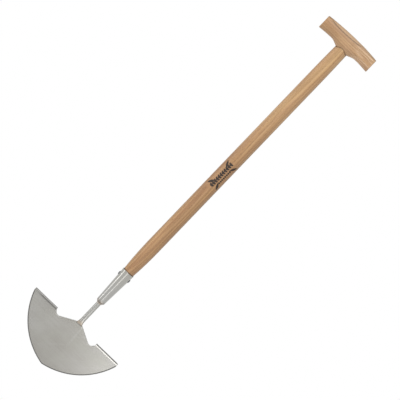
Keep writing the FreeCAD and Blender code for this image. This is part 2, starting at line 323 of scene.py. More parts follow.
def cutting_circle(size):
    """Centre x, centre z and radius of the right cutting arc, from its ends and its bulge off the chord."""
    end = np.array([BLADE_HIGH.x, bend_height(size) - size.tip_flat])
    chord = np.hypot(*end)
    radius = (chord**2 / 4 + size.edge_bulge**2) / (2 * size.edge_bulge)
    outward = np.array([end[1], -end[0]]) / chord
    centre = end / 2 - (radius - size.edge_bulge) * outward
    return centre[0], centre[1], radius


def circle_foot(x, size, inset):
    """Height of the cutting arcs over x, taken in by an inset: the lower half of the circle."""
    centre_x, centre_z, radius = cutting_circle(size)
    inside = np.maximum((radius - inset) ** 2 - (np.abs(x) - centre_x) ** 2, 0)
    return centre_z - np.sqrt(inside)


def front_depth(x, z, size):
    """Y of the sheet's front face: level, then sloping back over the ground edge."""
    centre_x, centre_z, radius = cutting_circle(size)
    slope = (size.thickness - size.bevel_land) / size.bevel_width
    past = np.hypot(np.abs(x) - centre_x, z - centre_z) - (radius - size.bevel_width)
    return -size.thickness / 2 + slope * np.clip(past, 0, size.bevel_width)


def rounded_valley(x, falling, rising, radius):
    """Greater of two lines, each a height at zero and a slope, with an arc in the valley between them."""
    (height_a, slope_a), (height_b, slope_b) = falling, rising
    lift_a = radius * math.hypot(1, slope_a)
    lift_b = radius * math.hypot(1, slope_b)
    centre_x = (height_a + lift_a - height_b - lift_b) / (slope_b - slope_a)
    centre_z = height_a + lift_a + slope_a * centre_x
    low = centre_x + radius * slope_a / math.hypot(1, slope_a)
    high = centre_x + radius * slope_b / math.hypot(1, slope_b)
    lines = np.maximum(height_a + slope_a * x, height_b + slope_b * x)
    arc = centre_z - np.sqrt(np.maximum(radius**2 - (x - centre_x) ** 2, 0))
    return np.where((x > low) & (x < high), arc, lines)


def sheet_top(x, size):
    """Top of the sheet between the treads: tongue, fillet, falling shoulder, round notch, steep rise."""
    across = np.abs(x)
    inset = size.edge_round
    fall, steep = -math.tan(size.shoulder_angle), math.tan(size.notch_angle)
    shoulder = (TREAD_HEIGHT + size.shoulder_rise - inset * math.hypot(1, fall), fall)
    rise = (bend_height(size) - steep * size.tread_inner - inset * math.hypot(1, steep), steep)
    top = rounded_valley(across, shoulder, rise, size.notch_radius + inset)
    side = size.tongue_width / 2 - inset
    radius = size.tongue_fillet + inset
    centre_x = side + radius
    centre_z = shoulder[0] + fall * centre_x + radius * math.hypot(1, fall)
    touch = centre_x + radius * fall / math.hypot(1, fall)
    fillet = centre_z - np.sqrt(np.maximum(radius**2 - (across - centre_x) ** 2, 0))
    top = np.where(across < touch, fillet, top)
    top = np.where(across <= side, BLADE_HIGH.z - inset, top)
    return np.minimum(top, np.where(across > size.tread_inner, bend_height(size), top))


def plate_heights(x, top, size, rows=22):
    """Heights of the plate's rows over each x: the ground edge's two borders, then even steps to the top."""
    low = circle_foot(x, size, size.edge_round)
    ground = circle_foot(x, size, size.bevel_width)
    ground = np.minimum(ground, low + 0.6 * (top - low))
    share = np.linspace(0, 1, rows)[1:, None]
    middle = (low + ground) / 2
    return np.concatenate([low[None], middle[None], ground[None], ground + (top - ground) * share])


def middle_patch(size):
    """Front and back points of the sheet between the treads."""
    inner = size.tread_inner + size.edge_round
    side = size.tongue_width / 2 - size.edge_round
    half = np.concatenate([
        np.linspace(0, side, 5),
        side + eased(0.02 * MM, 6 * MM, 10),
        np.linspace(side + 6.6 * MM, inner, 62),
    ])
    x = np.concatenate([-half[:0:-1], half])
    top = sheet_top(x, size)
    top[[0, -1]] = bend_height(size)
    z = plate_heights(x, top, size)
    x = np.broadcast_to(x, z.shape)
    return stacked(x, front_depth(x, z, size), z), stacked(x, size.thickness / 2, z)


def wing_patch(size, side):
    """Front and back points of one wing: the plate, a quarter-round bend and the turned strip.

    The strip's reach over x is level between two corner arcs. The left wing (side -1) turns to the front.
    """
    inset = size.edge_round
    half = BLADE_HIGH.x
    reach = BLADE_HIGH.y
    inner_start = size.tread_inner + size.inner_corner
    outer_start = half - size.outer_corner
    x = np.concatenate([
        inner_start - (size.inner_corner - inset) * np.cos(np.linspace(0, math.pi / 2, 7)),
        np.linspace(inner_start, outer_start, 30)[1:-1],
        outer_start + (size.outer_corner - inset) * np.sin(np.linspace(0, math.pi / 2, 13)),
    ])
    in_corner = (size.inner_corner - inset) ** 2 - np.maximum(inner_start - x, 0) ** 2
    out_corner = (size.outer_corner - inset) ** 2 - np.maximum(x - outer_start, 0) ** 2
    edge = np.minimum(
        reach - size.inner_corner + np.sqrt(np.maximum(in_corner, 0)),
        reach - size.outer_corner + np.sqrt(np.maximum(out_corner, 0)),
    )
    edge = np.where((x > inner_start) & (x < outer_start), reach - inset, edge)
    low = bend_height(size)
    z = plate_heights(x, np.full_like(x, low), size)
    spread_x = np.broadcast_to(x, z.shape)
    centre = size.thickness / 2 + size.bend_radius
    angle = np.linspace(0, math.pi / 2, 9)[1:, None]
    share = np.linspace(0, 1, 6)[1:, None]
    faces = []
    for face in (-1, 1):
        radius = size.bend_radius + (size.thickness if face != side else 0)
        flat = front_depth(spread_x, z, size) if face < 0 else np.full_like(z, size.thickness / 2)
        step = np.full_like(x, face * size.thickness / 2)[None]
        bend_y = side * (centre - radius * np.cos(angle)) + 0 * x
        bend_z = low + radius * np.sin(angle) + 0 * x
        strip_y = side * (centre + (edge - centre) * share)
        depth = np.concatenate([flat, step, bend_y, strip_y])
        rise = np.concatenate([z, z[-1:] + 0.03 * MM, bend_z, np.full_like(strip_y, low + radius)])
        faces.append(stacked(x, depth, rise))
    if side < 0:
        faces = [face[:, ::-1] * (-1, 1, 1) for face in faces]
    return faces


def thick_sheet(patches, rounding):
    """Points and faces of a closed sheet from patches, each a front and a back grid, and where its rim is.

    Patches share the points of their seams. Every open border of the front is joined to the same border of
    the back by a rim that runs out by the rounding, over a quarter circle at each side. The last array is 1
    on the rim's points and 0 elsewhere.
    """
    front = np.concatenate([grid[0].reshape(-1, 3) for grid in patches])
    back = np.concatenate([grid[1].reshape(-1, 3) for grid in patches])
    starts = np.cumsum([0] + [grid[0].shape[0] * grid[0].shape[1] for grid in patches[:-1]])
    faces = np.concatenate([grid_faces(*grid[0].shape[:2]) + start for grid, start in zip(patches, starts)])
    keys = np.round(np.concatenate([front, back], axis=1) / (2e-3 * MM)).astype(np.int64)
    chosen, shared = np.unique(keys, axis=0, return_index=True, return_inverse=True)[1:]
    front, back, faces = front[chosen], back[chosen], shared.reshape(-1)[faces]
    count = len(front)
    begin, end = faces.reshape(-1), np.roll(faces, -1, axis=1).reshape(-1)
    border = ~np.isin(begin * count + end, end * count + begin)
    begin, end = begin[border], end[border]
    through = front - back
    thickness = np.linalg.norm(through, axis=1, keepdims=True)
    through = through / thickness
    run = front[end] - front[begin]
    side = np.cross(run, through[begin])
    side /= np.linalg.norm(side, axis=1, keepdims=True)
    outward = np.zeros_like(front)
    np.add.at(outward, begin, side)
    np.add.at(outward, end, side)
    rim = np.unique(begin)
    outward = outward[rim] / np.linalg.norm(outward[rim], axis=1, keepdims=True)
    radius = np.minimum(rounding, 0.35 * thickness[rim])
    turn = math.sqrt(0.5)
    rows = [rim]
    points = [front, back]
    for face, sign, out, deep in (
        (front, -1, turn, 1 - turn), (front, -1, 1, 1), (back, 1, 1, 1), (back, 1, turn, 1 - turn)
    ):
        rows.append(sum(len(group) for group in points) + np.arange(len(rim)))
        points.append(face[rim] + outward * radius * out + sign * through[rim] * radius * deep)
    rows.append(rim + count)
    place = np.zeros(count, dtype=int)
    place[rim] = np.arange(len(rim))
    strips = [
        np.stack([upper[place[end]], upper[place[begin]], lower[place[begin]], lower[place[end]]], axis=1)
        for upper, lower in zip(rows[:-1], rows[1:])
    ]
    cut_edge = np.concatenate([np.zeros(2 * count), np.ones(4 * len(rim))])
    return np.concatenate(points), np.concatenate([faces, faces[:, ::-1] + count, *strips]), cut_edge


def build_blade(size):
    """The half-moon sheet with its two treads, as one closed skin."""
    patches = [wing_patch(size, -1), middle_patch(size), wing_patch(size, 1)]
    points, faces, cut_edge = thick_sheet(patches, size.edge_round)
    mesh = bpy.data.meshes.new("blade_sheet")
    mesh.from_pydata(points.tolist(), [], faces.tolist())
    mesh.validate()
    form = bmesh.new()
    form.from_mesh(mesh)
    bmesh.ops.recalc_face_normals(form, faces=form.faces[:])
    form.to_mesh(mesh)
    form.free()
    mesh.attributes.new("cut_edge", "FLOAT", "POINT").data.foreach_set("value", cut_edge)
    return finish_piece("blade_sheet", mesh, satin_steel(size), ["blade"], sharp=28)


# ---------------------------------------------------------------- neck and welds

# Ripples of the weld beads
FOOT_RIPPLES = 7  # in half of a bead's length
SOCKET_RIPPLES = 22  # round the ring


def foot_spread(height, size):
    """Half width and half depth of the neck over its lower end: an oval that eases into the round bar."""
    share = np.clip(1 - height / size.foot_height, 0, 1) ** 2
    radius = size.diameter / 2
    return radius + (NECK_HIGH.x - radius) * share, radius + (size.foot_depth / 2 - radius) * share


def foot_prong(size, blade, side):
    """One half of the slotted foot: an oval cut off at the slot, carried upwards from a rounded lower end."""
    slot = blade.thickness / 2 + size.slot_room
    top = BLADE_HIGH.z + size.slot_room - NECK_LOW.z
    height = np.concatenate([eased(0, size.end_round, 5), np.linspace(size.end_round, top, 14)[1:]])
    left = np.maximum(size.end_round - height, 0)
    taken = size.end_round - np.sqrt(np.maximum(size.end_round**2 - left**2, 0))
    width, depth = foot_spread(height, size)
    width, depth = (width - taken)[:, None], (depth - taken)[:, None]
    start = np.arcsin(np.clip(slot / depth, 0, 1))
    angle = start + (math.pi - 2 * start) * np.linspace(0, 1, 33)[None, :]
    x, y = width * np.cos(angle), side * depth * np.sin(angle)
    x, y = np.concatenate([x, x[:, :1]], axis=1), np.concatenate([y, y[:, :1]], axis=1)
    ring = stacked(x, y, (NECK_LOW.z + height)[:, None])
    pole = ring.mean(axis=1, keepdims=True) + np.zeros_like(ring)
    return np.concatenate([pole[:1], ring, pole[-1:]])


def neck_bar(size):
    """The round bar over the slot: circles, slightly oval at the bottom, closed at both ends."""
    low = BLADE_HIGH.z + size.slot_room - NECK_LOW.z
    height = np.concatenate([[low], np.linspace(low, size.foot_height, 4)[1:], [NECK_HIGH.z - NECK_LOW.z]])
    width, depth = foot_spread(height, size)
    angle = np.linspace(0, FULL_TURN, 65)[None, :]
    ring = stacked(
        width[:, None] * np.cos(angle), depth[:, None] * np.sin(angle), (NECK_LOW.z + height)[:, None]
    )
    pole = ring.mean(axis=1, keepdims=True) * (0, 0, 1) + np.zeros_like(ring)
    return np.concatenate([pole[:1], ring, pole[-1:]])


def build_neck(size, blade):
    """The neck: two prongs of the slotted foot and the round bar over them."""
    prongs = foot_prong(size, blade, -1), foot_prong(size, blade, 1)
    mesh = skin_mesh("neck_bar", *prongs, neck_bar(size))
    return finish_piece("neck_bar", mesh, neck_steel(size), ["neck"], sharp=50)


def foot_bead(size, blade, side):
    """Weld in the corner under the foot: a quarter round along X that swells and sinks in ripples.

    Its radius is the corner's size times an end taper, less a ripple that returns about every millimetre.
    """
    full = (size.foot_depth - blade.thickness) / 2
    along = np.linspace(-1, 1, 121)[:, None]
    taper = np.sqrt(np.clip(1 - along**8, 0, 1))
    radius = (full - size.ripple * np.abs(np.sin(along * FOOT_RIPPLES * math.pi))) * taper
    angle = np.linspace(0, math.pi / 2, 13)[None, :]
    depth, drop = radius * np.cos(angle), radius * np.sin(angle)
    back = -0.05 * radius
    depth = np.concatenate([depth, back, depth[:, :1]], axis=1)
    drop = np.concatenate([drop, back, drop[:, :1]], axis=1)
    face = blade.thickness / 2
    return stacked(along * NECK_HIGH.x, side * (face + depth), NECK_LOW.z + 0.6 * size.end_round - drop)


def build_blade_weld(size, blade):
    """The weld beads at the front and the back of the neck's foot."""
    mesh = skin_mesh("foot_beads", foot_bead(size, blade, -1), foot_bead(size, blade, 1))
    material = weld_steel("foot_weld", size)
    return finish_piece("foot_beads", mesh, material, ["blade_weld"], sharp=60)


def build_socket_weld(size):
    """Ring of weld between neck and socket: a round section carried round Z, its size rippling."""
    around = np.linspace(0, FULL_TURN, 241)[None, :]
    section = np.linspace(0, FULL_TURN, 17)[:, None]
    bead = size.bead_size - size.ripple * np.abs(np.sin(around * SOCKET_RIPPLES / 2))
    radius = size.diameter / 2 + bead * np.cos(section)
    grid = stacked(radius * np.cos(around), radius * np.sin(around), SOCKET_LOW.z + bead * np.sin(section))
    mesh = skin_mesh("socket_bead", grid)
    material = weld_steel("socket_weld", size)
    return finish_piece("socket_bead", mesh, material, ["socket_weld"], sharp=60)


# ---------------------------------------------------------------- socket and rivet


def socket_slope(size):
    """Gain of the socket's radius with height."""
    return (size.rim_diameter - size.low_diameter) / 2 / (SOCKET_HIGH.z - SOCKET_LOW.z)


def socket_radius(height, size):
    """Outer radius of the socket's cone at a height."""
    return size.low_diameter / 2 + socket_slope(size) * (height - SOCKET_LOW.z)


def build_socket(size, neck):
    """The conical socket: a closed profile turned about Z, with round lower end, rim and inner wall."""
    lean = math.hypot(1, socket_slope(size))
    tilt = -math.degrees(math.atan(socket_slope(size)))
    hole = neck.diameter / 2 + neck.slot_room
    ends = []
    for inset, floor, rounding, steps in (
        (0, SOCKET_LOW.z, size.end_round, 14),
        (size.wall, SOCKET_LOW.z + size.wall, size.end_round - size.wall, 8),
    ):
        centre = floor + rounding
        centre_r = socket_radius(centre, size) - inset - rounding * lean
        start = -math.degrees(math.acos(np.clip((hole - centre_r) / rounding, 0, 1)))
        ends.append(arc_points(centre_r, centre, rounding, start, tilt, steps))
    outer, inner = ends
    rim = SOCKET_HIGH.z
    rounding = size.rim_round
    outer_rim = arc_points(socket_radius(rim, size) - rounding, rim - rounding, rounding, tilt, 90, 6)
    inner_rim_r = socket_radius(rim, size) - size.wall + rounding
    inner_rim = arc_points(inner_rim_r, rim - rounding, rounding, 90, 180, 6)
    wall_z = np.linspace(outer[1][-1], rim - rounding, 24)[1:-1]
    wall = (socket_radius(wall_z, size), wall_z)
    parts = [outer, wall, outer_rim, inner_rim, (inner[0][::-1], inner[1][::-1])]
    profile_r = np.concatenate([part[0] for part in parts] + [outer[0][:1]])
    profile_z = np.concatenate([part[1] for part in parts] + [outer[1][:1]])
    mesh = skin_mesh("socket_cone", turned(profile_r, profile_z, 128))
    return finish_piece("socket_cone", mesh, polished_steel(size), ["socket"], sharp=40)


def rivet_head(size, side):
    """A domed rivet head: an arc over a short upright edge, turned about X, its foot inside the socket."""
    seat = socket_radius(RIVET_HEIGHT, size)
    radius = size.rivet_diameter / 2
    edge_top = seat + size.rivet_edge
    dome = RIVET_HIGH.x - edge_top
    dome_radius = (radius**2 + dome**2) / (2 * dome)
    reach = radius * np.sin(np.linspace(0, math.pi / 2, 15))
    out = edge_top + dome - dome_radius + np.sqrt(dome_radius**2 - reach**2)
    foot = seat - 1.2 * MM
    reach = np.concatenate([reach, [radius, radius, 0]])
    out = np.concatenate([out, [edge_top - 0.1 * MM, foot, foot]])
    grid = turned(reach, out, 64)
    return stacked(side * grid[..., 2], grid[..., 0], RIVET_HEIGHT + side * grid[..., 1])


def build_rivet(size):
    """The two heads of the rivet, one on each side of the socket."""
    mesh = skin_mesh("rivet_heads", rivet_head(size, -1), rivet_head(size, 1))
    return finish_piece("rivet_heads", mesh, dull_steel(size), ["socket_rivet"], sharp=40)


# ---------------------------------------------------------------- grip

# The facet along the top, from the grip's middle
FACET_SHIFT = 14 * MM  # to the left, to where it is widest
FACET_HALF = 39 * MM


def underside(x, size):
    """Height of the grip's underside: level in the middle, a smooth rise, then a shallow fall to the end."""
    share = np.clip((np.abs(x) - size.arch_start) / size.arch_run, 0, 1)
    arch_end = size.arch_start + size.arch_run
    past = np.maximum(np.abs(x) - arch_end, 0) / (GRIP_HIGH.x - arch_end)
    return GRIP_LOW.z + size.arch_rise * share**2 * (3 - 2 * share) - size.end_swell * past**2


def half_depth(x, size):
    """Half of the grip's depth, full in the middle and less towards the ends with the square of x."""
    return GRIP_HIGH.y + (size.end_depth / 2 - GRIP_HIGH.y) * (x / GRIP_HIGH.x) ** 2


def belly_height(x, y, size):
    """Height of the grip's round belly at a place: the lower half of a circle as wide as the grip."""
    half = half_depth(x, size)
    return underside(x, size) + half - np.sqrt(np.maximum(half**2 - y**2, 0))


def arris_fall(x, size):
    """Fall of the long top edges: a facet, widest a little to the left, that runs out at both sides."""
    share = np.clip(1 - ((x + FACET_SHIFT) / FACET_HALF) ** 2, 0, 1)
    return size.arris_least + (size.arris_drop - size.arris_least) * share**0.8


def build_grip(size):
    """The T-grip: sections across X of a round belly, leaning sides and a crowned top, with rounded ends."""
    half_length = GRIP_HIGH.x
    ends = eased(0, size.end_round, 6)
    x = np.concatenate([
        -half_length + ends,
        np.linspace(-half_length + size.end_round, half_length - size.end_round, 100)[1:-1],
        (half_length - ends)[::-1],
    ])[:, None]
    half = half_depth(x, size)
    top = GRIP_HIGH.z - size.end_drop * (x / half_length) ** 2
    belly = underside(x, size) + half
    arris_y = half - size.arris_inset
    arris_z = top - arris_fall(x, size)
    angle = np.linspace(math.pi, FULL_TURN, 45)[None, :]
    share = np.linspace(0, 1, 15)[None, 1:]
    lean = half - (half - arris_y) * share**1.6
    climb = belly + (arris_z - belly) * share
    crown = np.linspace(1, -1, 33)[None, 1:-1]
    y = np.concatenate([half * np.cos(angle), lean, arris_y * crown, -lean[:, ::-1]], axis=1)
    z = np.concatenate(
        [belly + half * np.sin(angle), climb, top - (top - arris_z) * crown**2, climb[:, ::-1]], axis=1
    )
    for _ in range(3):
        y = (np.roll(y, 1, axis=1) + 2 * y + np.roll(y, -1, axis=1)) / 4
        z = (np.roll(z, 1, axis=1) + 2 * z + np.roll(z, -1, axis=1)) / 4
    left = np.maximum(size.end_round - (half_length - np.abs(x)), 0)
    taken = size.end_round - np.sqrt(np.maximum(size.end_round**2 - left**2, 0))
    middle = z.mean(axis=1, keepdims=True)
    reach = np.hypot(y, z - middle)
    y, z = y * (1 - taken / reach), middle + (z - middle) * (1 - taken / reach)
    ring = stacked(x, y, z)
    ring = np.concatenate([ring, ring[:, :1]], axis=1)
    pole = np.zeros_like(ring) + stacked(x, 0, middle)
    mesh = skin_mesh("ash_grip", np.concatenate([pole[:1], ring, pole[-1:]]))
    x, y, z = vertex_places(mesh)
    arris = GRIP_HIGH.z - size.end_drop * (x / half_length) ** 2 - arris_fall(x, size)
    mesh.attributes.new("under_arris", "FLOAT", "POINT").data.foreach_set("value", arris - z)
    return finish_piece("ash_grip", mesh, flashed_ash(size), ["grip"], sharp=50)


def build_pin(size):
    """The pin's end at the back of the grip: a disc with a softened edge, turned about Y."""
    soft, depth = 0.3 * MM, 5 * MM
    radii, out = arc_points(PIN_RADIUS - soft, PIN_HIGH.y - soft, soft, 0, 90, 5)
    radii = np.concatenate([[0, PIN_RADIUS], radii, [0]])
    out = np.concatenate([[GRIP_HIGH.y - depth] * 2, out, [PIN_HIGH.y]])
    grid = turned(radii, out, 48)
    grid = stacked(grid[..., 0], grid[..., 2], PIN_HEIGHT + grid[..., 1])
    mesh = skin_mesh("grip_pin_end", grid)
    material = ash("pin_wood", size.dark, size.dark, grain_axis="Y", pith=(4 * MM, 6 * MM))
    return finish_piece("grip_pin_end", mesh, material, ["grip_pin"], sharp=50)


# ---------------------------------------------------------------- shaft


def turned_arc_radius(height, low, high, low_radius, high_radius, level_at_top):
    """Radius along an arc between two heights that runs level with the axis at one of them."""
    run, step = high - low, abs(high_radius - low_radius)
    bow = (run**2 + step**2) / (2 * step)
    level, away = (high_radius, high - height) if level_at_top else (low_radius, height - low)
    return level - (bow - np.sqrt(bow**2 - away**2))


def shaft_radius(height, size, socket):
    """Radius of the shaft at a height: nose, swell over the socket, straight part, taper to the grip."""
    inset = socket.wall + size.nose_room
    rim_radius = socket_radius(SOCKET_HIGH.z, socket) - inset
    swell = turned_arc_radius(
        np.clip(height, SOCKET_HIGH.z, STRAIGHT_LOW),
        SOCKET_HIGH.z, STRAIGHT_LOW, rim_radius, SHAFT_RADIUS, True,
    )
    taper = turned_arc_radius(
        np.clip(height, STRAIGHT_HIGH, GRIP_LOW.z),
        STRAIGHT_HIGH, GRIP_LOW.z, SHAFT_RADIUS, size.top_diameter / 2, False,
    )
    upper = np.where(height < STRAIGHT_LOW, swell, taper)
    return np.where(height < SOCKET_HIGH.z, socket_radius(height, socket) - inset, upper)


def build_shaft(size, socket, grip):
    """The shaft: circles up the axis, the last ones bent to the saddle that fits the grip's belly.

    Each upper row lies a share of the way from a level circle to the saddle's edge; past the softened edge
    the rows run in under the grip to the middle.
    """
    angle = np.linspace(0, FULL_TURN, 129)[None, :]
    nose, chamfer = SHAFT_LOW.z, 1.5 * MM
    level = STRAIGHT_HIGH + 50 * MM
    heights = np.concatenate([
        [nose, nose + chamfer],
        np.linspace(nose + 4 * MM, SOCKET_HIGH.z, 8),
        np.linspace(SOCKET_HIGH.z, STRAIGHT_LOW, 26)[1:],
        np.linspace(STRAIGHT_LOW, STRAIGHT_HIGH, 12)[1:],
        np.linspace(STRAIGHT_HIGH, level, 16)[1:],
    ])[:, None]
    radius = shaft_radius(heights, size, socket) + 0 * angle
    radius[0] -= chamfer
    lower = stacked(radius * np.cos(angle), radius * np.sin(angle), heights)
    top_radius = size.top_diameter / 2
    saddle = belly_height(top_radius * np.cos(angle), top_radius * np.sin(angle), grip)
    soft = size.joint_round
    share = np.linspace(0, 1, 14)[1:, None]
    climb = level + (saddle - soft - level) * share
    radius = shaft_radius(climb, size, socket)
    upper = stacked(radius * np.cos(angle), radius * np.sin(angle), climb)
    turn = np.linspace(0, math.pi / 2, 5)[1:, None]
    soft_radius = top_radius - soft * (1 - np.cos(turn))
    softened = stacked(
        soft_radius * np.cos(angle), soft_radius * np.sin(angle), saddle - soft * (1 - np.sin(turn))
    )
    inwards = np.linspace(top_radius - soft, 0, 7)[1:, None]
    seat_x, seat_y = inwards * np.cos(angle), inwards * np.sin(angle)
    seat = stacked(seat_x, seat_y, belly_height(seat_x, seat_y, grip))
    foot = np.zeros_like(lower[:1]) + np.array([0, 0, nose])
    mesh = skin_mesh("ash_shaft", np.concatenate([foot, lower, upper, softened, seat]))
    x, y, z = vertex_places(mesh)
    under = belly_height(x, y, grip) - z
    mesh.attributes.new("under_grip", "FLOAT", "POINT").data.foreach_set("value", under)
    return finish_piece("ash_shaft", mesh, marked_ash(size), ["shaft"], sharp=50)


# ---------------------------------------------------------------- finishes

# Fixed tones of the finishes, in linear light
GREEN_CAST = (0.36, 0.36, 0.315)  # patches of the satin sheet
BRUSHED_SHEET = (0.48, 0.475, 0.455)  # bright lines that brushing leaves in the sheet
BRUSHED_ROUND = (0.45, 0.447, 0.43)  # the same in the neck
DRAWN_LINES = (0.45, 0.445, 0.43)  # draw lines in the socket
RIM_CAST = (0.42, 0.40, 0.34)  # warmer steel towards the rim
LOW_END_PAINTED_SHADE = (0.24, 0.20, 0.165)  # painted shade, brown, at the low end of the socket
SMUDGE = (0.42, 0.41, 0.39)  # finger smudges on the socket
WELD_METAL = (0.31, 0.30, 0.295)  # weld beads between their tints
RUBBED_RIVET = (0.36, 0.355, 0.34)  # rubbed crown of a rivet head

# Growth of the ash
RING_WIDTH = 4.3 * MM
WANDER = (16 * MM, 10 * MM)  # how far the pith strays, across and up

class Signal:
    """One output of a node. Arithmetic on it adds Math nodes to the same material."""

    def __init__(self, finish, socket):
        self.finish = finish
        self.socket = socket

    def __add__(self, other):
        return self.finish.math("ADD", self, other)

    def __sub__(self, other):
        return self.finish.math("SUBTRACT", self, other)

    def __rsub__(self, other):
        return self.finish.math("SUBTRACT", other, self)

    def __mul__(self, other):
        return self.finish.math("MULTIPLY", self, other)

    def __truediv__(self, other):
        return self.finish.math("DIVIDE", self, other)

    def __rtruediv__(self, other):
        return self.finish.math("DIVIDE", other, self)

    def __pow__(self, other):
        return self.finish.math("POWER", self, other)

    def __lt__(self, other):
        return self.finish.math("LESS_THAN", self, other)

    def __gt__(self, other):
        return self.finish.math("GREATER_THAN", self, other)

    def __abs__(self):
        return self.finish.math("ABSOLUTE", self)

    __radd__ = __add__
    __rmul__ = __mul__


class Finish:
    """A material in the making: a Principled shader and the nodes that feed it."""

    def __init__(self, name, **constants):
        self.material = bpy.data.materials.new(name)
        self.material.use_nodes = True
        self.tree = self.material.node_tree
        self.shader = self.tree.nodes["Principled BSDF"]
        for socket, value in constants.items():
            self.shader.inputs[socket.replace("_", " ")].default_value = value
        self.place = self.node("TexCoord", {}, {}, "Object")

    def node(self, kind, settings, inputs, output=0):
        """Adds a node of a type: its settings first, then the values or links of its sockets."""
        made = self.tree.nodes.new("ShaderNode" + kind)
        for name, value in settings.items():
            setattr(made, name, value)
        for name, value in inputs.items():
            if isinstance(value, Signal):
                self.tree.links.new(value.socket, made.inputs[name])
            else:
                made.inputs[name].default_value = value
        return Signal(self, made.outputs[output])

    def math(self, operation, *values):
        """A Math node on one or more values."""
        return self.node("Math", {"operation": operation}, dict(enumerate(values)))

    def parts(self, vector):
        """The three numbers of a vector."""
        made = self.node("SeparateXYZ", {}, {"Vector": vector})
        return [Signal(self, socket) for socket in made.socket.node.outputs]

    def joined(self, x, y, z):
        """A vector from three numbers."""
        return self.node("CombineXYZ", {}, {"X": x, "Y": y, "Z": z})

    def stretched(self, vector, x, y, z):
        """The vector with each of its numbers multiplied."""
        return self.node("VectorMath", {"operation": "MULTIPLY"}, {0: vector, 1: (x, y, z)})

    def noise(self, vector, scale, detail=2.0, roughness=0.5):
        """Soft noise between 0 and 1."""
        inputs = {"Vector": vector, "Scale": scale, "Detail": detail, "Roughness": roughness}
        return self.node("TexNoise", {}, inputs)

    def step(self, value, low, high):
        """0 under low, 1 over high and a smooth change between them."""
        inputs = {"Value": value, "From Min": low, "From Max": high}
        return self.node("MapRange", {"interpolation_type": "SMOOTHSTEP"}, inputs)

    def blend(self, share, first, second):
        """A colour between two colours."""
        ends = [tuple(end) + (1.0,) if not isinstance(end, Signal) else end for end in (first, second)]
        return self.node("Mix", {"data_type": "RGBA"}, {0: share, 6: ends[0], 7: ends[1]}, 2)

    def tinted(self, share, base, tint):
        """The base colour multiplied by a tint, as far as the share says."""
        inputs = {0: share, 6: base, 7: (*tint, 1.0)}
        return self.node("Mix", {"data_type": "RGBA", "blend_type": "MULTIPLY"}, inputs, 2)

    def feed(self, socket, value):
        """Links a value to one of the shader's sockets."""
        self.tree.links.new(value.socket, self.shader.inputs[socket])

    def bump(self, height, distance, strength=1.0):
        """Relief from a height between 0 and 1, as deep as the distance."""
        inputs = {"Strength": strength, "Distance": distance, "Height": height}
        self.feed("Normal", self.node("Bump", {}, inputs))


def satin_steel(size):
    """Satin stainless sheet: soft clouds, fine brushing across, rub marks, and darker ground and cut edges.

    Painted shade darkens the plate in a band at the foot of each bend, on the side that its tread turns to,
    and painted light makes the sheet lighter towards the ends of its wings.
    """
    finish = Finish("satin_stainless_sheet", Metallic=1.0)
    x, y, z = finish.parts(finish.place)
    cloud = finish.step(finish.noise(finish.stretched(finish.place, 1.0, 1.0, 1.5), 17.0, 3.0), 0.33, 0.68)
    warm = finish.step(finish.noise(finish.place, 31.0, 2.0), 0.4, 0.7)
    brushed = finish.noise(finish.stretched(finish.place, 14.0, 300.0, 900.0), 1.0, 3.0, 0.6)
    slanted = finish.joined(x + z * 0.8, y, z - x * 0.8)
    rubbed = finish.noise(finish.stretched(slanted, 12.0, 40.0, 160.0), 1.0, 2.0)
    rubbed = finish.step(rubbed, 0.58, 0.72)
    # Painted light: the sheet grows lighter from its middle out towards the ends of its wings.
    outer = finish.step(abs(x), 12 * MM, 85 * MM)
    streak_place = x - 11 * MM + (z - 90 * MM) * 0.06
    wiped = (1 - finish.step(abs(streak_place), 0.3 * MM, 3.6 * MM)) * finish.step(z, 50 * MM, 85 * MM)
    clouds_and_painted_light = cloud * 0.4 + rubbed * 0.25 + outer * 0.45 + wiped * 0.4
    base = finish.blend(clouds_and_painted_light, size.steel, size.bright_steel)
    base = finish.blend(warm * 0.35, base, GREEN_CAST)
    base = finish.blend((brushed - 0.5) * 0.5 + 0.15, base, BRUSHED_SHEET)
    centre_x, centre_z, radius = cutting_circle(size)
    across = abs(x) - centre_x
    up = z - centre_z
    distance = (across * across + up * up) ** 0.5
    edge = radius - size.bevel_width
    ground = finish.step(distance, edge - 0.1 * MM, edge + 0.3 * MM) * (z < bend_height(size))
    cut = finish.node("Attribute", {"attribute_name": "cut_edge"}, {}, "Fac")
    # Painted shade: a band at the foot of each bend, on the face that its tread reaches over, is darkened
    # where the tread would shade it.
    below_bend = finish.step(z, bend_height(size) - 2.6 * MM, bend_height(size) - 1.6 * MM)
    turned_side = (x * y > 0) * (abs(x) > size.tread_inner)
    in_corner = below_bend * (z < bend_height(size) + 1.8 * MM) * turned_side
    in_corner = in_corner * (1 - finish.step(abs(x), 88 * MM, 108 * MM))
    dull = finish.math("MAXIMUM", ground, cut)
    base = finish.blend(cut * 0.9, base, size.cut_steel)
    ground_edge_and_corner_shade = finish.math("MAXIMUM", ground * 0.9, in_corner * 0.75)
    finish.feed("Base Color", finish.blend(ground_edge_and_corner_shade, base, size.ground_steel_and_corner_shade))
    finish.feed("Roughness", 0.30 + cloud * 0.08 + brushed * 0.1 + dull * 0.15)
    finish.bump(brushed * 0.5 + cloud, 0.05 * MM, 0.4)
    return finish.material


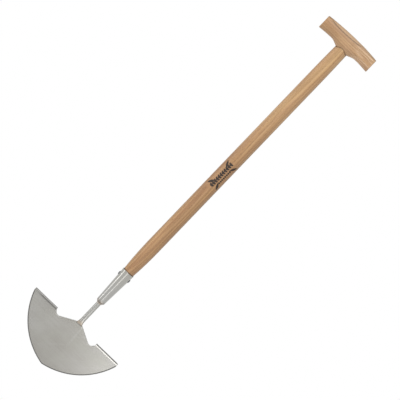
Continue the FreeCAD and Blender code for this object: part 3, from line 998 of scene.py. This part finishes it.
def neck_steel(size):
    """Brushed stainless bar with a straw heat tint above the blade and under the socket."""
    finish = Finish("brushed_stainless_bar", Metallic=1.0)
    z = finish.parts(finish.place)[2]
    brushed = finish.noise(finish.stretched(finish.place, 260.0, 260.0, 14.0), 1.0, 2.0)
    uneven = finish.noise(finish.place, 160.0, 2.0) * 4 * MM
    foot = 1 - finish.step(z + uneven, NECK_LOW.z + 3 * MM, NECK_LOW.z + 14 * MM)
    head = finish.step(z + uneven, SOCKET_LOW.z - 3 * MM, SOCKET_LOW.z + 2 * MM)
    base = finish.blend(brushed * 0.4, size.steel, BRUSHED_ROUND)
    finish.feed("Base Color", finish.blend(foot * 0.45 + head * 0.25, base, size.tint))
    finish.feed("Roughness", 0.28 + brushed * 0.08)
    finish.bump(brushed, 0.02 * MM, 0.3)
    return finish.material


def weld_steel(name, size):
    """Weld bead: rippled stainless with straw and blue-grey tints."""
    finish = Finish(name, Metallic=1.0)
    patch = finish.step(finish.noise(finish.place, 420.0, 2.0), 0.4, 0.65)
    base = finish.blend(patch * 0.6, WELD_METAL, size.tint)
    finish.feed("Base Color", base)
    finish.feed("Roughness", 0.34 + finish.noise(finish.place, 900.0, 3.0) * 0.2)
    finish.bump(finish.noise(finish.place, 1500.0, 3.0), 0.05 * MM, 0.7)
    return finish.material


def polished_steel(size):
    """Polished stainless: fine turning rings, long draw lines, smudges, a warm cast near the rim, and painted
    shade with a brown cast round its low end.
    """
    finish = Finish("polished_stainless_cone", Metallic=1.0)
    z = finish.parts(finish.place)[2]
    rings = finish.noise(finish.stretched(finish.place, 10.0, 10.0, 1600.0), 1.0, 2.0)
    drawn = finish.noise(finish.stretched(finish.place, 320.0, 320.0, 9.0), 1.0, 3.0, 0.6)
    smudge = finish.step(finish.noise(finish.place, 55.0, 3.0), 0.45, 0.7)
    base = finish.blend(drawn * 0.6, size.steel, DRAWN_LINES)
    warm = finish.step(z, SOCKET_LOW.z + 30 * MM, SOCKET_HIGH.z) * 0.3
    base = finish.blend(warm, base, RIM_CAST)
    # Painted shade: the socket's round low end is darkened to a brown that stands for the dark and reddish
    # reflections there.
    low = 1 - finish.step(z, SOCKET_LOW.z + 2 * MM, SOCKET_LOW.z + 9 * MM)
    base = finish.blend(low * 0.65, base, LOW_END_PAINTED_SHADE)
    finish.feed("Base Color", finish.blend(smudge * 0.15, base, SMUDGE))
    finish.feed("Roughness", 0.15 + smudge * 0.07 + drawn * 0.08)
    finish.bump(drawn * 0.8 + rings * 0.2, 0.02 * MM, 0.2)
    return finish.material


def dull_steel(size):
    """Rivet heads: dull dark steel, rubbed brighter on the crown of the dome."""
    finish = Finish("dull_rivet_steel", Metallic=1.0)
    y, z = finish.parts(finish.place)[1:]
    rise = z - RIVET_HEIGHT
    off_axis = (y * y + rise * rise) ** 0.5
    rubbed = 1 - finish.step(off_axis, 0.5 * MM, 3.5 * MM)
    spots = finish.noise(finish.place, 700.0, 3.0)
    finish.feed("Base Color", finish.blend(rubbed * 0.35 + spots * 0.15, size.rivet_steel, RUBBED_RIVET))
    finish.feed("Roughness", 0.42 + spots * 0.18)
    finish.bump(spots, 0.04 * MM, 0.6)
    return finish.material


def grained(finish, grain_axis):
    """The place turned so that its third number runs along the grain."""
    x, y, z = finish.parts(finish.place)
    across, up, along = {"Z": (x, y, z), "X": (y, z, x), "Y": (z, x, y)}[grain_axis]
    return across, up, along


def ash_surface(finish, light, dark, grain_axis, pith):
    """Colour and relief of ash as a solid: growth rings about a pith beside the piece, with pore lines.

    The distance from the wandering pith, over the ring width, gives the ring number. Early wood is the first
    part of each ring, pores are short dark lines in it, and fibres and flames are streaks along the grain.
    """
    across, up, along = grained(finish, grain_axis)
    wander = finish.noise(finish.joined(across * 18, up * 18, along * 3.2), 1.0, 2.0)
    off_x = across - pith[0] + (wander - 0.5) * WANDER[0]
    off_y = up - pith[1] + (wander - 0.5) * WANDER[1]
    ring = (off_x * off_x + off_y * off_y) ** 0.5 / RING_WIDTH
    phase = finish.math("FRACT", ring)
    early = finish.step(phase, 0.0, 0.12) * (1 - finish.step(phase, 0.35, 0.85))
    fibre = finish.noise(finish.joined(across * 800, up * 800, along * 20), 1.0, 3.0, 0.6)
    pores = finish.noise(finish.joined(across * 2300, up * 2300, along * 130), 1.0, 1.0)
    pores = finish.step(pores, 0.58, 0.70) * early
    streak = finish.step(finish.noise(finish.joined(across * 210, up * 210, along * 7), 1.0, 2.0), 0.36, 0.64)
    flame = finish.noise(finish.joined(across * 125 + 7, up * 125, along * 6.5), 1.0, 2.0)
    flame = finish.step(flame, 0.42, 0.58)
    tone = early * 0.32 + streak * 0.24 + (fibre - 0.5) * 0.7
    base = finish.blend(tone, light, dark)
    base = finish.blend(flame * 0.55, base, [light[0] * 0.74, light[1] * 0.64, light[2] * 0.64])
    gleam = finish.noise(finish.joined(across * 140 + 3, up * 140, along * 5), 1.0, 2.0)
    gleam = finish.step(gleam, 0.54, 0.68)
    base = finish.blend(gleam * 0.45, base, [light[0] * 1.12, light[1] * 1.1, light[2] * 1.0])
    base = finish.blend(pores * 0.55, base, [part * 0.5 for part in dark])
    relief = fibre * 0.4 - pores * 0.6 - early * 0.25
    return base, relief, fibre, pores


def ash(name, light, dark, grain_axis, pith):
    """Oiled ash with its grain along one axis."""
    finish = Finish(name, Coat_Roughness=0.32, Coat_Weight=0.16)
    base, relief, fibre, pores = ash_surface(finish, light, dark, grain_axis, pith)
    finish.feed("Base Color", base)
    finish.feed("Roughness", 0.42 + fibre * 0.12 + pores * 0.2)
    finish.bump(relief, 0.12 * MM, 0.5)
    return finish.material


def flashed_ash(size):
    """Oiled ash of the grip, its grain along X, with dark arrises.

    It is browner to the left and has pale flashes to the right, and painted light makes the crown of its top
    lighter.
    """
    finish = Finish("oiled_ash_grip", Coat_Roughness=0.32, Coat_Weight=0.16)
    base, relief, fibre, pores = ash_surface(finish, size.light, size.dark, "X", (-31 * MM, 44 * MM))
    x = finish.parts(finish.place)[0]
    patch = finish.noise(finish.stretched(finish.place, 14.0, 60.0, 60.0), 1.0, 2.0)
    brown = 1 - finish.step(x + (patch - 0.5) * 60 * MM, -42 * MM, 8 * MM)
    base = finish.blend(brown * 0.42, base, [size.dark[0] * 1.15, size.dark[1] * 1.1, size.dark[2] * 1.1])
    flash = finish.noise(finish.stretched(finish.place, 26.0, 330.0, 330.0), 1.0, 2.0)
    flash = finish.step(flash, 0.46, 0.62) * finish.step(x + (patch - 0.5) * 40 * MM, 4 * MM, 34 * MM)
    base = finish.blend(flash * 0.6, base, size.pale)
    under = finish.node("Attribute", {"attribute_name": "under_arris"}, {}, "Fac")
    faceted = 1 - finish.step(abs(x + FACET_SHIFT), 30 * MM, 44 * MM)
    # Painted light: the crown of the top, above the arrises, is made paler as if lit from above.
    crown = (under < -0.6 * MM) * faceted
    base = finish.blend(crown * 0.55, base, size.pale)
    arris = (1 - finish.step(abs(under - 0.5 * MM), 0.5 * MM, 1.6 * MM)) * faceted
    base = finish.blend(arris * 0.75, base, [part * 0.55 for part in size.dark])
    finish.feed("Base Color", base)
    finish.feed("Roughness", 0.42 + fibre * 0.12 + pores * 0.2)
    finish.bump(relief, 0.12 * MM, 0.5)
    return finish.material


def leaf(across, up, out, rise, lean, long_half, short_half):
    """Mask of one leaf: a pointed oval about a place, leaning outwards from the stem by an angle.

    Each place inside keeps its share of the length squared plus its share of the width under one.
    """
    side, climb = across - out, up - rise
    along = (side * math.sin(lean) + climb * math.cos(lean)) / long_half
    beside = abs(side * math.cos(lean) - climb * math.sin(lean)) / short_half
    return along * along + beside < 1


def sprig(finish, size):
    """Mask of the burnt mark: a stem with pairs of leaves, long leaves at both ends, and a row of seeds.

    The short pairs and the seeds repeat up the stem. The sprays are mirrored across it and about its middle.
    """
    x, y, z = finish.parts(finish.place)
    around = finish.math("ARCTAN2", x, y * -1) * SHAFT_RADIUS
    up = z - size.mark_height
    half = size.mark_length / 2
    across = abs(around + 1.0 * MM)
    spacing = half / 5.5
    within = finish.math("FRACT", up / spacing + 0.5) * spacing - spacing / 2
    pairs = leaf(
        across, within, out=2.1 * MM, rise=0.0, lean=math.radians(52), long_half=3.6 * MM, short_half=2.0 * MM
    )
    row = finish.math("MAXIMUM", pairs, across < 1.2 * MM) * (abs(up) < half)
    from_middle = abs(up)
    out = abs(around - 1.2 * MM)
    spray = leaf(
        out, from_middle, out=9.0 * MM, rise=half - 7.4 * MM,
        lean=math.radians(34), long_half=8.8 * MM, short_half=2.7 * MM,
    )
    seed_step = 4.4 * MM
    seed_up = finish.math("FRACT", up / seed_step) * seed_step - seed_step / 2
    seeds = leaf(around, seed_up, out=8.0 * MM, rise=0.0, lean=0.0, long_half=2.1 * MM, short_half=2.5 * MM)
    seeds = seeds * (from_middle < half - 13.2 * MM)
    whole = finish.math("MAXIMUM", finish.math("MAXIMUM", row, spray), seeds)
    worn = finish.step(finish.noise(finish.stretched(finish.place, 1.0, 1.0, 0.3), 1500.0, 2.0), 0.28, 0.42)
    return whole * (0.82 + worn * 0.18) * (y < 0)


def marked_ash(size):
    """Oiled ash of the shaft, its grain along Z, darker towards the bottom, with the burnt sprig, and with
    dirt and painted shade in the joints at both ends.
    """
    finish = Finish("oiled_ash_shaft", Coat_Roughness=0.30, Coat_Weight=0.18)
    base, relief, fibre, pores = ash_surface(finish, size.light, size.dark, "Z", (22 * MM, 37 * MM))
    mark = sprig(finish, size)
    under_grip = finish.node("Attribute", {"attribute_name": "under_grip"}, {}, "Fac")
    z = finish.parts(finish.place)[2]
    uneven = finish.noise(finish.stretched(finish.place, 60.0, 60.0, 3.0), 1.0) * (120 * MM)
    # The shaft's colour is darker towards the bottom.
    low_darkening = 1 - finish.step(z + uneven, 600 * MM, 780 * MM)
    base = finish.tinted(low_darkening, base, size.low_darkening)
    # Dirt and painted shade: the shaft is darkened just under the grip's belly and just over the socket's
    # rim, the creases where shade falls.
    grip_crease_shade = 1 - finish.step(under_grip, 1.0 * MM, 2.4 * MM)
    rim_crease_shade = 1 - finish.step(z - SOCKET_HIGH.z, 0.8 * MM, 2.6 * MM)
    joint_dirt_and_shade = finish.math("MAXIMUM", grip_crease_shade, rim_crease_shade)
    base = finish.blend(joint_dirt_and_shade * 0.75, base, [part * 0.3 for part in size.dark])
    finish.feed("Base Color", finish.blend(mark * 0.97, base, size.burnt))
    finish.feed("Coat Weight", 0.18 - mark * 0.16)
    finish.feed("Roughness", 0.40 + fibre * 0.12 + pores * 0.2 + mark * 0.2)
    finish.bump(relief - mark * 0.8, 0.12 * MM, 0.5)
    return finish.material


# ---------------------------------------------------------------- stage

SUN_SIDE = Vector((-0.17, -0.72, 0.86))  # from the tool towards the sun
AIM_ACROSS = 3.1 * MM  # from the tool's middle to the middle of the view
AIM_RISE = 5.2 * MM


def upright_light(name, azimuth, distance, high, width, brightness):
    """A soft light that stands on the floor and faces the tool's axis; azimuth 0 is in front, 90 right."""
    lamp = bpy.data.lights.new(name, "AREA")
    lamp.shape = "RECTANGLE"
    lamp.size, lamp.size_y = width, high
    lamp.energy = brightness * math.pi * width * high
    light = bpy.data.objects.new(name, lamp)
    bpy.context.scene.collection.objects.link(light)
    turn = math.radians(azimuth)
    away = Vector((math.sin(turn), -math.cos(turn), 0))
    light.location = away * distance + Vector((0, 0, high / 2))
    light.rotation_euler = away.to_track_quat("Z", "Y").to_euler()
    light.visible_camera = False


def build_stage(size):
    """Pale floor, even room light, a soft sun and tall soft lights, and the camera."""
    half = size.floor_size / 2
    mesh = bpy.data.meshes.new("floor")
    corners = [(-half, -half, 0), (half, -half, 0), (half, half, 0), (-half, half, 0)]
    mesh.from_pydata(corners, [], [(0, 1, 2, 3)])
    floor = bpy.data.objects.new("floor", mesh)
    bpy.context.scene.collection.objects.link(floor)
    paint = Finish(
        "pale_floor",
        Base_Color=(0, 0, 0, 1),
        Roughness=1.0,
        Specular_IOR_Level=0.0,
        Emission_Color=(*size.floor_colour, 1),
        Emission_Strength=1.0,
    )
    mesh.materials.append(paint.material)

    world = bpy.data.worlds.new("room")
    world.use_nodes = True
    world.node_tree.nodes["Background"].inputs["Color"].default_value = (1, 1, 1, 1)
    world.node_tree.nodes["Background"].inputs["Strength"].default_value = size.world_strength
    scene = bpy.context.scene
    scene.world = world
    scene.view_settings.view_transform = "Standard"

    sun = bpy.data.lights.new("high_sun", "SUN")
    sun.energy = 2.6
    sun.angle = math.radians(60)
    high = bpy.data.objects.new("high_sun", sun)
    high.rotation_euler = SUN_SIDE.to_track_quat("Z", "Y").to_euler()
    scene.collection.objects.link(high)
    upright_light("left_strip", azimuth=-70, distance=0.5, high=1.2, width=0.07, brightness=3.2)
    upright_light("front_strip", azimuth=6, distance=0.5, high=1.2, width=0.08, brightness=1.45)
    upright_light("right_wing_light", azimuth=40, distance=0.3, high=0.075, width=0.24, brightness=2.1)

    tilt, roll = size.elevation, size.roll
    back = Vector((0, -math.cos(tilt), math.sin(tilt)))
    level_right = Vector((1, 0, 0))
    level_up = Vector((0, math.sin(tilt), math.cos(tilt)))
    right = level_right * math.cos(roll) + level_up * math.sin(roll)
    up = level_up * math.cos(roll) - level_right * math.sin(roll)
    lens = bpy.data.cameras.new("camera")
    lens.sensor_width = 36.0
    lens.lens = size.focal_length
    lens.clip_end = 500.0
    camera = bpy.data.objects.new("camera", lens)
    aim = Vector((AIM_ACROSS, 0, (cad_box[0].z + cad_box[1].z) / 2 + AIM_RISE))
    distance = size.picture_width * size.focal_length / lens.sensor_width
    turn = Matrix((right, up, back)).transposed().to_4x4()
    camera.matrix_world = Matrix.Translation(aim + back * distance) @ turn
    scene.collection.objects.link(camera)
    scene.camera = camera


# ---------------------------------------------------------------- operators and panel


class EDGER_OT_blade(bpy.types.Operator):
    """Builds the half-moon blade with its two treads"""

    bl_idname = "edger.blade"
    bl_label = "Blade"

    def execute(self, context):
        build_blade(context.scene.edger_blade)
        return {"FINISHED"}


class EDGER_OT_neck(bpy.types.Operator):
    """Builds the neck, its slotted foot and the weld beads at both its ends"""

    bl_idname = "edger.neck"
    bl_label = "Neck and welds"

    def execute(self, context):
        scene = context.scene
        build_neck(scene.edger_neck, scene.edger_blade)
        build_blade_weld(scene.edger_neck, scene.edger_blade)
        build_socket_weld(scene.edger_neck)
        return {"FINISHED"}


class EDGER_OT_socket(bpy.types.Operator):
    """Builds the conical socket and the heads of its rivet"""

    bl_idname = "edger.socket"
    bl_label = "Socket and rivet"

    def execute(self, context):
        build_socket(context.scene.edger_socket, context.scene.edger_neck)
        build_rivet(context.scene.edger_socket)
        return {"FINISHED"}


class EDGER_OT_shaft(bpy.types.Operator):
    """Builds the ash shaft with its saddle and its burnt sprig"""

    bl_idname = "edger.shaft"
    bl_label = "Shaft"

    def execute(self, context):
        scene = context.scene
        build_shaft(scene.edger_shaft, scene.edger_socket, scene.edger_grip)
        return {"FINISHED"}


class EDGER_OT_grip(bpy.types.Operator):
    """Builds the ash T-grip and the end of its pin"""

    bl_idname = "edger.grip"
    bl_label = "Grip and pin"

    def execute(self, context):
        build_grip(context.scene.edger_grip)
        build_pin(context.scene.edger_grip)
        return {"FINISHED"}


class EDGER_OT_stage(bpy.types.Operator):
    """Lays the pale floor and sets the lights and the camera"""

    bl_idname = "edger.stage"
    bl_label = "Stage"

    def execute(self, context):
        build_stage(context.scene.edger_stage)
        return {"FINISHED"}


OPERATORS = (
    EDGER_OT_blade,
    EDGER_OT_neck,
    EDGER_OT_socket,
    EDGER_OT_shaft,
    EDGER_OT_grip,
    EDGER_OT_stage,
)


class EDGER_PT_panel(bpy.types.Panel):
    """Lists the tool's pieces and the stage"""

    bl_idname = "EDGER_PT_panel"
    bl_label = "Lawn Edger"
    bl_space_type = "VIEW_3D"
    bl_region_type = "UI"
    bl_category = "Edger"

    def draw(self, context):
        for operator in OPERATORS:
            self.layout.operator(operator.bl_idname)


def register():
    """Adds the settings to the scene, and the operators and the panel to Blender."""
    for group in SETTINGS.values():
        bpy.utils.register_class(group)
    for name, group in SETTINGS.items():
        setattr(bpy.types.Scene, name, bpy.props.PointerProperty(type=group))
    for operator in OPERATORS:
        bpy.utils.register_class(operator)
    bpy.utils.register_class(EDGER_PT_panel)


def unregister():
    """Takes out what register added."""
    bpy.utils.unregister_class(EDGER_PT_panel)
    for operator in reversed(OPERATORS):
        bpy.utils.unregister_class(operator)
    for name, group in SETTINGS.items():
        delattr(bpy.types.Scene, name)
        bpy.utils.unregister_class(group)


def main():
    register()
    bpy.ops.edger.blade()
    bpy.ops.edger.neck()
    bpy.ops.edger.socket()
    bpy.ops.edger.shaft()
    bpy.ops.edger.grip()
    bpy.ops.edger.stage()


if __name__ == "__main__":
    main()
